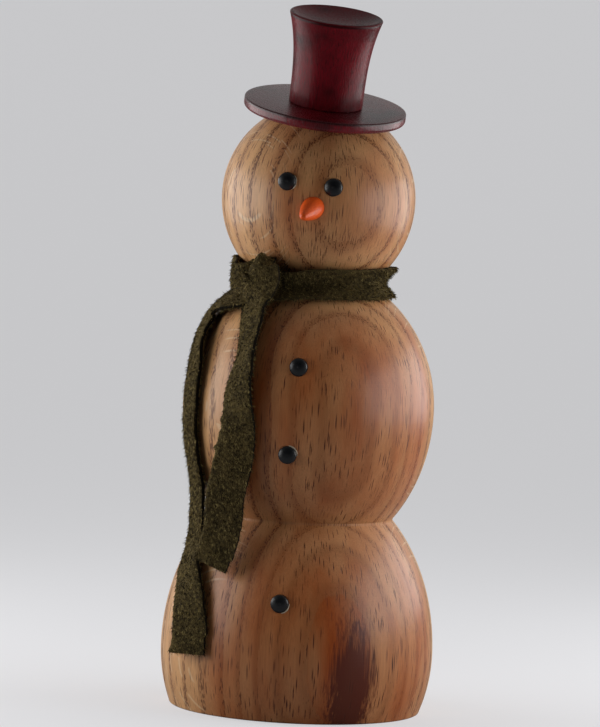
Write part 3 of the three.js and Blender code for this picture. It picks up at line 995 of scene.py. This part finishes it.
def make_hat():
    brim_stain = wine_stain("wine_stained_brim", 1)
    crown_stain = wine_stain("wine_stained_crown", 0)
    hole = SPIGOT_RADIUS + 0.1
    brim_outline = [
        [hole, 0],
        *arc(BRIM_RADIUS - BRIM_BOTTOM_EDGE, BRIM_BOTTOM_EDGE, BRIM_BOTTOM_EDGE, -90, 0, 8),
        *arc(BRIM_RADIUS - BRIM_TOP_EDGE, BRIM_THICKNESS - BRIM_TOP_EDGE, BRIM_TOP_EDGE, 0, 90, 5),
        [hole, BRIM_THICKNESS],
        [hole, 0],
    ]
    brim = new_piece(
        "hat_brim_wine", turned("hat_brim", brim_outline, HAT_SIDES, brim_stain, on_dowel), brim_stain
    )
    foot = BRIM_THICKNESS + CROWN_OFF_BRIM
    top = BRIM_THICKNESS + GAP + CROWN_HEIGHT
    side_steps, dish_steps = 28, 20
    side = []
    for i in range(side_steps):
        up = i / side_steps
        spread = (CROWN_RIM_RADIUS - CROWN_FOOT_RADIUS) * up**CROWN_FLARE
        side.append([CROWN_FOOT_RADIUS + spread, foot + (top - foot - CROWN_RIM_EDGE) * up])
    dish_radius = CROWN_RIM_RADIUS - 2 * CROWN_RIM_EDGE
    dish = []
    for i in range(dish_steps + 1):
        out = 1 - i / dish_steps
        dish.append([dish_radius * out, top - CROWN_DISH * (1 - out**2)])
    crown_outline = [
        [0, DOWEL_IN_HAT + GAP],
        [DOWEL_HOLE_RADIUS, DOWEL_IN_HAT + GAP],
        [DOWEL_HOLE_RADIUS, 0],
        [SPIGOT_RADIUS, 0],
        [SPIGOT_RADIUS, foot],
        [CROWN_FOOT_RADIUS - CROWN_FOOT_EDGE, foot],
        [CROWN_FOOT_RADIUS, foot + CROWN_FOOT_EDGE],
        *side[1:],
        *arc(CROWN_RIM_RADIUS - CROWN_RIM_EDGE, top - CROWN_RIM_EDGE, CROWN_RIM_EDGE, 0, 150, 7),
        *dish,
    ]
    crown_mesh = turned("hat_crown", crown_outline, HAT_SIDES, crown_stain, on_dowel)
    crown = new_piece("hat_crown_wine", crown_mesh, crown_stain)
    for piece, node in ((brim, "hat_brim"), (crown, "hat_crown")):
        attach(piece, "hat")
        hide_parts(node)


make_dowel()
make_hat()

# ---------------------------------------------------------------------------------------------
# Scarf: one strip of olive suede, cut by hand 11 mm wide and about 335 mm long. It goes once
# round the neck, creased where it is pressed between the balls. One end crosses over the other,
# comes up behind the neck loop and flops over it; both ends hang down the figure's right side.
# ---------------------------------------------------------------------------------------------
STRIP_WIDTH = 11.0
STRIP_THICKNESS = 1.35
STRIP_STEP = 0.8
# The strip is pressed thinner along its cut edges, and its face waves and pimples a little.
EDGE_BAND = 0.3
EDGE_THINNING = 0.62
WAVES = 0.2
PIMPLES = 0.12
# Stations along the strip: azimuth, radius, height, azimuth that the outer face looks to,
# how far that face looks up (degrees), and how sharply the strip is creased (degrees).
STRIP_STATIONS = [
    (-41, 39.6, 16.5, -27, 0, 0),
    (-42, 38.9, 24, -30, 0, 0),
    (-46, 37.4, 32, -38, 0, 0),
    (-53, 35.0, 39.5, -52, 0, 0),
    (-57, 32.9, 45, -60, 0, -6),
    (-59, 31.9, 50, -64, 0, -8),
    (-60, 31.8, 55, -66, 0, -10),
    (-60.5, 32.2, 60.5, -67, 0, -12),
    (-60.5, 33.2, 66, -67, 0, -12),
    (-60, 34.5, 71.5, -67, 0, -12),
    (-59.5, 35.3, 77, -67, 0, -12),
    (-59, 35.5, 82.5, -67, 0, -12),
    (-59, 35.3, 88, -67, 0, -12),
    (-59.5, 34.6, 93, -67, 6, -10),
    (-62.5, 33.4, 98.5, -74, 14, -10),
    (-68, 31.0, 103, -77, 26, -16),
    (-71, 28.6, 107.2, -80, 38, -14),
    (-66, 26.3, 110.6, -74, 48, -8),
    (-55, 24.6, 112.4, -62, 52, 0),
    (-42, 23.2, 113.6, -46, 46, 4),
    (-29, 21.2, 116.0, -30, 16, 20),
    (-14, 19.6, 116.5, -14, 0, 46),
    (5, 18.6, 117.1, 5, 0, 44),
    (25, 18.5, 117.4, 25, 0, 41),
    (50, 18.5, 117.4, 50, 0, 41),
    (75, 18.5, 117.5, 75, 0, 41),
    (100, 18.5, 117.4, 100, 0, 41),
    (125, 18.5, 117.3, 125, 0, 41),
    (150, 18.5, 117.4, 150, 0, 41),
    (175, 18.5, 117.5, 175, 0, 41),
    (200, 18.5, 117.4, 200, 0, 41),
    (225, 18.5, 117.3, 225, 0, 41),
    (250, 18.6, 117.4, 250, 0, 41),
    (270, 21.2, 117.2, 270, 0, 10),
    (286, 22.4, 117.0, 286, 0, -15),
    (300, 21.4, 116.2, 302, -4, 20),
    (315, 19.8, 117.0, 318, -10, 10),
    (324, 20.2, 119.4, 326, -20, -25),
    (328, 22.0, 121.6, 330, 30, -58),
    (330, 24.2, 124.2, 331, 70, -64),
    (331, 26.2, 123.4, 332, 40, -58),
    (332.5, 27.6, 120.9, 334, 12, -40),
    (335.2, 27.9, 118.2, 339, 0, 0),
    (332, 27.3, 114.8, 317, 0, -4),
    (330.6, 27.5, 111.2, 307, 3, -4),
    (331, 28.8, 106.5, 304, 8, -4),
    (332, 30.7, 102, 301, 10, -4),
    (332.8, 32.6, 97.5, 301, 9, -4),
    (333.4, 34.6, 92, 307, 5, -4),
    (334, 35.7, 86, 316, 0, -5),
    (335.2, 36.0, 79, 331, 0, -5),
    (334.4, 35.8, 72.5, 341, 0, -5),
    (332, 35.4, 66, 342, 0, -4),
    (329.5, 35.2, 59, 341, 0, -3),
    (329, 35.3, 52, 340, 0, -2),
    (328.3, 36.2, 46.8, 338, 0, -3),
    (326, 38.0, 41, 336, 0, -6),
]


def smooth_through(values, steps):
    """Catmull-Rom line through lists of numbers, with the same number of steps in each span."""
    padded = [values[0], *values, values[-1]]
    line = []
    for i in range(1, len(padded) - 2):
        a, b, c, d = (Vector(v) for v in padded[i - 1 : i + 3])
        for k in range(steps):
            t = k / steps
            line.append(
                0.5 * (2 * b + (c - a) * t + (2 * a - 5 * b + 4 * c - d) * t**2
                       + (3 * b - a - 3 * c + d) * t**3)
            )
    line.append(Vector(padded[-2]))
    return line


def strip_frames():
    """Even steps along the strip: place, across, outward, crease angle and distance run."""
    rows = []
    for azimuth, radius, height, facing, tilt, crease in STRIP_STATIONS:
        place = level_direction(math.radians(azimuth)) * radius + Vector((0, 0, height))
        up = math.radians(tilt)
        face = level_direction(math.radians(facing)) * math.cos(up) + Vector((0, 0, math.sin(up)))
        rows.append((*place, *face, crease))
    line = smooth_through(rows, 24)
    runs = [0.0]
    for a, b in zip(line, line[1:]):
        runs.append(runs[-1] + (Vector(b[:3]) - Vector(a[:3])).length)
    count = round(runs[-1] / STRIP_STEP)
    frames, k = [], 0
    for i in range(count + 1):
        run = runs[-1] * i / count
        while k < len(runs) - 2 and runs[k + 1] < run:
            k += 1
        t = (run - runs[k]) / (runs[k + 1] - runs[k])
        row = line[k].lerp(line[k + 1], t)
        frames.append([Vector(row[:3]), Vector(row[3:6]).normalized(), row[6], run])
    return frames


def ragged(run, side):
    """How far a hand-cut edge wanders, in millimetres."""
    slow = noise.noise(Vector((run * 0.09, side * 7.3, 1.7)))
    fast = noise.noise(Vector((run * 0.8, side * 3.1, 9.2)))
    torn = max(0, noise.noise(Vector((run * 0.33, side * 5.7, 3.4))) - 0.25)
    return 0.5 * slow + 0.3 * fast + side * 1.6 * torn


def fold_lift(s, crease):
    """How far out a point across the strip stands: a V in a crease, an arch where it wraps."""
    soft = 0.7 if crease > 0 else 3.2
    return (math.sqrt(s * s + soft * soft) - soft) * math.sin(math.radians(crease))


def strip_mesh():
    across_steps = 14
    frames = strip_frames()
    work = bmesh.new()
    uv = work.loops.layers.uv.new("cut")
    cut_edge = work.faces.layers.float.new("cut_edge")
    loops, spots = [], []
    for i, (place, face, crease, run) in enumerate(frames):
        before, after = frames[max(0, i - 1)][0], frames[min(len(frames) - 1, i + 1)][0]
        tangent = (after - before).normalized()
        across = tangent.cross(face).normalized()
        out = across.cross(tangent).normalized()
        lean = math.radians(crease)
        left = -STRIP_WIDTH / 2 + ragged(run, -1)
        right = STRIP_WIDTH / 2 + ragged(run, 1)
        ring, marks = [], []
        for side in (1, -1):
            order = range(across_steps + 1)
            for j in order if side > 0 else reversed(order):
                share = j / across_steps
                s = left + (right - left) * share
                edge = min(s - left, right - s)
                half = STRIP_THICKNESS / 2 * (1 if edge > EDGE_BAND else EDGE_THINNING)
                lift = fold_lift(s, crease)
                lift += WAVES * noise.noise(Vector((s * 0.25, run * 0.16, 4.0)))
                pimple = PIMPLES * noise.noise(Vector((s * 1.3, run * 1.3, side * 3)))
                lift += side * (half + pimple)
                point = place + across * (s * math.cos(lean)) + out * lift
                ring.append(work.verts.new(point * MM))
                marks.append((s, run))
        loops.append(ring)
        spots.append(marks)

    def add_face(corners, is_cut):
        made = work.faces.new([loops[a][b] for a, b in corners])
        made[cut_edge] = 1.0 if is_cut else 0.0
        for loop, (a, b) in zip(made.loops, corners):
            loop[uv].uv = (spots[a][b][0] * MM, spots[a][b][1] * MM)

    count = len(loops[0])
    for i in range(len(loops) - 1):
        for j in range(count):
            k = (j + 1) % count
            add_face(((i, j), (i, k), (i + 1, k), (i + 1, j)), j in (across_steps, count - 1))
    for i in (0, len(loops) - 1):
        for j in range(across_steps):
            add_face(((i, j), (i, j + 1), (i, count - 2 - j), (i, count - 1 - j)), True)
    bmesh.ops.recalc_face_normals(work, faces=work.faces)
    mesh = bpy.data.meshes.new("scarf_strip")
    work.to_mesh(mesh)
    work.free()
    mesh.shade_smooth()
    return mesh, frames[-1][3]


def suede():
    # Split suede, dyed olive: a coarse nap brushed slantwise, mottled at random between moss, a painted
    # sheen where the fibres stand up and catch light, and brown-black, painted shade between them and
    # where it is rubbed flat.
    material, tree, shader = new_material("olive_split_suede")
    math_node, vector_node = "ShaderNodeMath", "ShaderNodeVectorMath"
    cut = add(tree, "ShaderNodeUVMap", uv_map="cut")
    place = add(tree, vector_node, {0: cut, "Scale": 1000}, operation="SCALE")
    brushed_way = add(
        tree,
        "ShaderNodeMapping",
        {"Vector": place, "Rotation": (0, 0, math.radians(30)), "Scale": (5.0, 1.6, 1)},
    )
    nap = add(
        tree,
        "ShaderNodeTexNoise",
        {"Vector": brushed_way, "Scale": 1.0, "Detail": 3.0, "Roughness": 0.7, "Distortion": 0.6},
    )
    brushed = add(tree, "ShaderNodeTexNoise", {"Vector": place, "Scale": 0.16, "Detail": 3.0})
    mixed = add(tree, math_node, {0: nap, 1: 0.7}, operation="MULTIPLY")
    mixed = add(tree, math_node, {0: brushed, 1: 0.3, 2: mixed}, operation="MULTIPLY_ADD")
    tone = add(tree, "ShaderNodeMapRange", {0: mixed, 1: 0.4, 2: 0.62, 3: 0, 4: 1})
    colour = add(
        tree, "ShaderNodeMix", {0: tone, 6: linear("#221C0F"), 7: linear("#6E5E3A")}, data_type="RGBA"
    )
    # The cut edges are near black: partly their own darker fibres, partly painted shade.
    cut_edge = add(tree, "ShaderNodeAttribute", attribute_name="cut_edge").outputs["Fac"]
    colour = add(
        tree,
        "ShaderNodeMix",
        {0: cut_edge, 6: colour.outputs[2], 7: linear("#16110A")},
        data_type="RGBA",
    )
    bump = add(tree, "ShaderNodeBump", {"Strength": 0.9, "Distance": 0.0003, "Height": nap})
    plug(tree, shader, {"Base Color": colour.outputs[2], "Roughness": 0.95, "Normal": bump})
    plug(tree, shader, {"Sheen Weight": 0.06, "Sheen Roughness": 0.5})
    plug(tree, shader, {"Sheen Tint": linear("#8A7A45"), "Specular IOR Level": 0.1})
    return material


def nap_tree():
    """Scatters short tapering fibres over a strip, brushed one way and a little unruly."""
    tree, given = start_tree(
        "suede_nap",
        "Nap",
        Strip="Geometry",
        Fibres_per_square_metre="Float",
        Length="Float",
        Thickness="Float",
        Brushed="Vector",
        Unruly="Float",
        Seed="Int",
        Finish="Material",
    )
    cut_edge = add(tree, "GeometryNodeInputNamedAttribute", {"Name": "cut_edge"}, data_type="FLOAT")
    on_face = add(tree, "FunctionNodeCompare", {0: cut_edge.outputs[0], 1: 0.5}, operation="LESS_THAN")
    spots = add(
        tree,
        "GeometryNodeDistributePointsOnFaces",
        {
            0: given["Strip"],
            "Selection": on_face,
            "Density": given["Fibres per square metre"],
            "Seed": given["Seed"],
        },
        distribute_method="RANDOM",
    )
    blade = add(
        tree,
        "GeometryNodeMeshCone",
        {
            "Vertices": 3,
            "Radius Top": 0.0,
            "Radius Bottom": given["Thickness"],
            "Depth": given["Length"],
        },
        fill_type="NONE",
    )
    stray = add(
        tree,
        "FunctionNodeRandomValue",
        {0: (-1, -1, -1), 1: (1, 1, 1), "Seed": given["Seed"]},
        data_type="FLOAT_VECTOR",
    )
    stray = add(tree, "ShaderNodeVectorMath", {0: stray, "Scale": given["Unruly"]}, operation="SCALE")
    way = add(
        tree, "ShaderNodeVectorMath", {0: spots.outputs["Normal"], 1: given["Brushed"]}, operation="ADD"
    )
    way = add(tree, "ShaderNodeVectorMath", {0: way, 1: stray}, operation="ADD")
    leaning = add(tree, "FunctionNodeAlignRotationToVector", {"Vector": way}, axis="Z")
    size = add(
        tree, "FunctionNodeRandomValue", {2: 0.45, 3: 1.3, "Seed": given["Seed"]}, data_type="FLOAT"
    )
    fibres = add(
        tree,
        "GeometryNodeInstanceOnPoints",
        {0: spots.outputs["Points"], "Instance": blade, "Rotation": leaning, "Scale": size.outputs[1]},
    )
    return end_tree(tree, fibres, given["Finish"])


def nap_fibre():
    # Loose suede fibres: the same olive, some a little lighter, a painted glow of light passing through
    # the fibres.
    material, tree, shader = new_material("suede_fibre")
    place = add(
        tree,
        "ShaderNodeMapping",
        {"Vector": add(tree, "ShaderNodeTexCoord").outputs["Object"], "Scale": (1100, 1100, 1100)},
    )
    tone = add(tree, "ShaderNodeTexNoise", {"Vector": place, "Scale": 1.0, "Detail": 1.0})
    tone = add(tree, "ShaderNodeMapRange", {0: tone, 1: 0.42, 2: 0.66, 3: 0, 4: 1})
    colour = add(
        tree, "ShaderNodeMix", {0: tone, 6: linear("#241D0F"), 7: linear("#A28F5A")}, data_type="RGBA"
    )
    plug(tree, shader, {"Base Color": colour.outputs[2], "Roughness": 0.9})
    plug(tree, shader, {"Specular IOR Level": 0.2})
    return material


def make_scarf():
    leather = suede()
    mesh, length = strip_mesh()
    strip = new_piece("scarf_strip", mesh, leather)
    source = new_piece("scarf_nap", mesh.copy(), leather)
    fibre = nap_fibre()
    tree = nap_tree()
    scatter = source.modifiers.new("nap", "NODES")
    scatter.node_group = tree
    set_inputs(
        scatter,
        tree,
        Fibres_per_square_metre=5.5e6,
        Length=0.001,
        Thickness=0.00009,
        Brushed=(0.7, -0.3, -1.1),
        Unruly=0.8,
        Seed=7,
        Finish=fibre,
    )
    nap = new_piece("scarf_nap", evaluated_mesh(source, "scarf_nap"), fibre)
    for piece in (strip, nap):
        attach(piece, "scarf")
    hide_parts("scarf_neck_band", "scarf_knot", "scarf_front_tail", "scarf_back_tail")


make_scarf()
